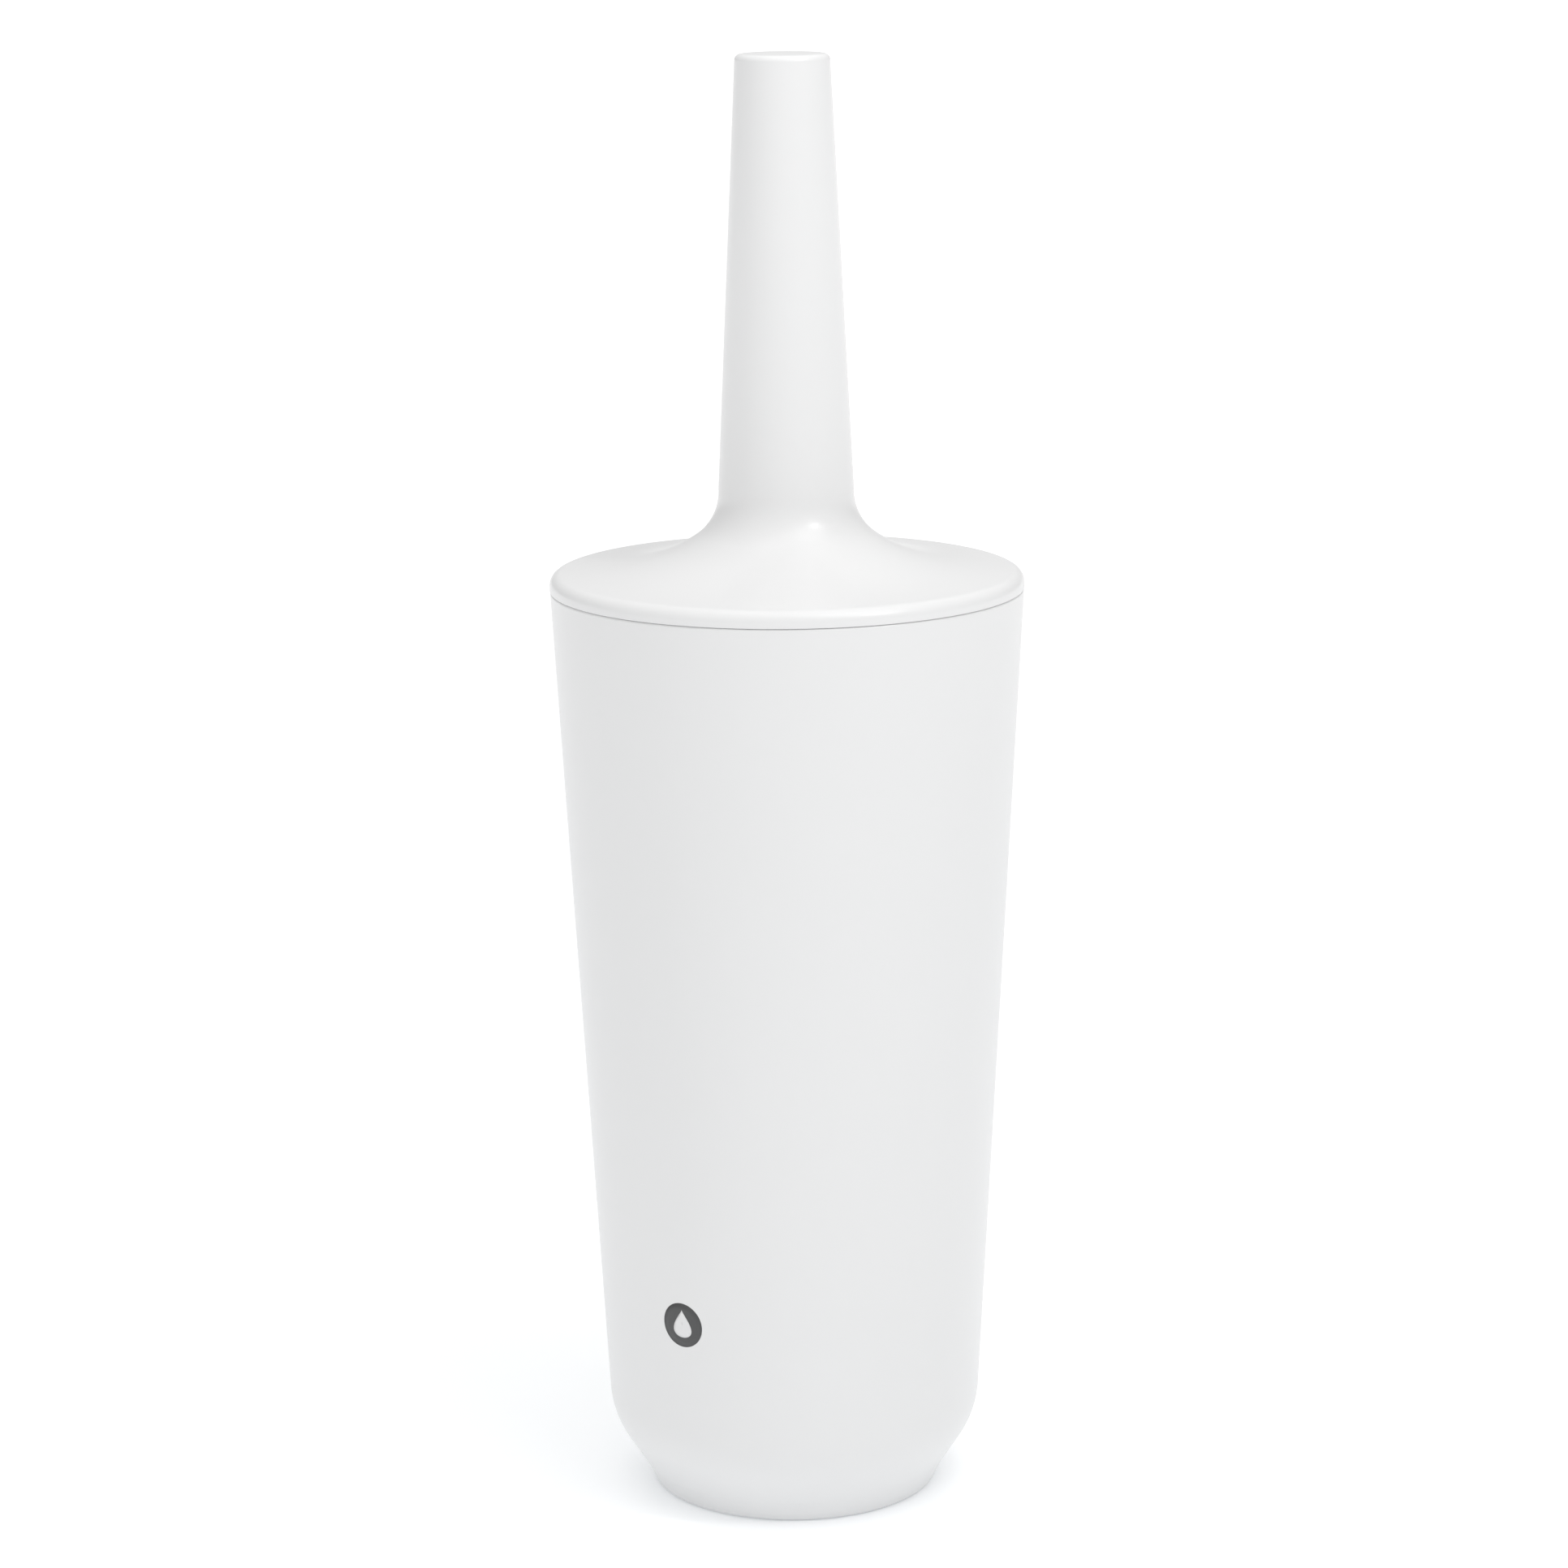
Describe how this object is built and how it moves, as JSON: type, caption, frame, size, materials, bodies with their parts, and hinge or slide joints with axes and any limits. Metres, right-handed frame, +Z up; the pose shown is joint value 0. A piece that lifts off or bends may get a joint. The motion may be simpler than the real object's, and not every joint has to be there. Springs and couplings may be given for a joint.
{
  "type": "toilet brush holder",
  "caption": "Tapered round canister on a bevelled foot, closed by a swept lid that carries a long tapered handle and the brush inside.",
  "frame": {"origin": "centre of the base, on the floor", "axes": "+Z up along the axis of the canister and the handle; the object is round, so X and Y are any two directions across it"},
  "size_m": [0.1272, 0.1272, 0.392],
  "materials": {
    "canister_plastic": "satin white",
    "lid_plastic": "satin white",
    "underplate_plastic": "fine matt white",
    "foot_rubber": "soft matt off-white",
    "washer_rubber": "matt dark grey",
    "bush_plastic": "natural acetal",
    "stick_plastic": "satin white",
    "core_plastic": "satin white",
    "anchor_wire": "drawn flat wire",
    "filament": "white synthetic filament",
    "print_ink": "dark grey printing ink"
  },
  "bodies": {
    "holder": {"canister": "canister_plastic", "foot_ring": "foot_rubber"},
    "handle": {"lid_handle": "lid_plastic", "lid_underplate": "underplate_plastic", "thread_bush": "bush_plastic"},
    "washer": {"seal_washer": "washer_rubber"},
    "brush": {"stick": "stick_plastic", "head_core": "core_plastic", "tuft_anchors": "anchor_wire", "tuft_row_1": "filament", "tuft_row_2": "filament", "tuft_row_3": "filament", "tuft_row_4": "filament", "tuft_row_5": "filament", "tuft_row_6": "filament", "tuft_row_7": "filament", "tip_row_1": "filament", "tip_row_2": "filament", "tip_row_3": "filament"}
  },
  "joints": [
    {"name": "brush_lift", "type": "slide", "parent": "holder", "child": "handle", "axis": [0, 0, 1], "range_m": [0, 0.25]},
    {"name": "screw_travel", "type": "slide", "parent": "handle", "child": "washer", "axis": [0, 0, -1], "range_m": [0, 0.012]},
    {"name": "stick_unscrew", "type": "hinge", "parent": "washer", "child": "brush", "pos_m": [0, 0, 0.245], "axis": [0, 0, -1], "range_deg": [0, 1080]}
  ],
  "couplings": [
    {"joint": "stick_unscrew", "follows": "screw_travel", "rad_per_m": 1570.8}
  ]
}
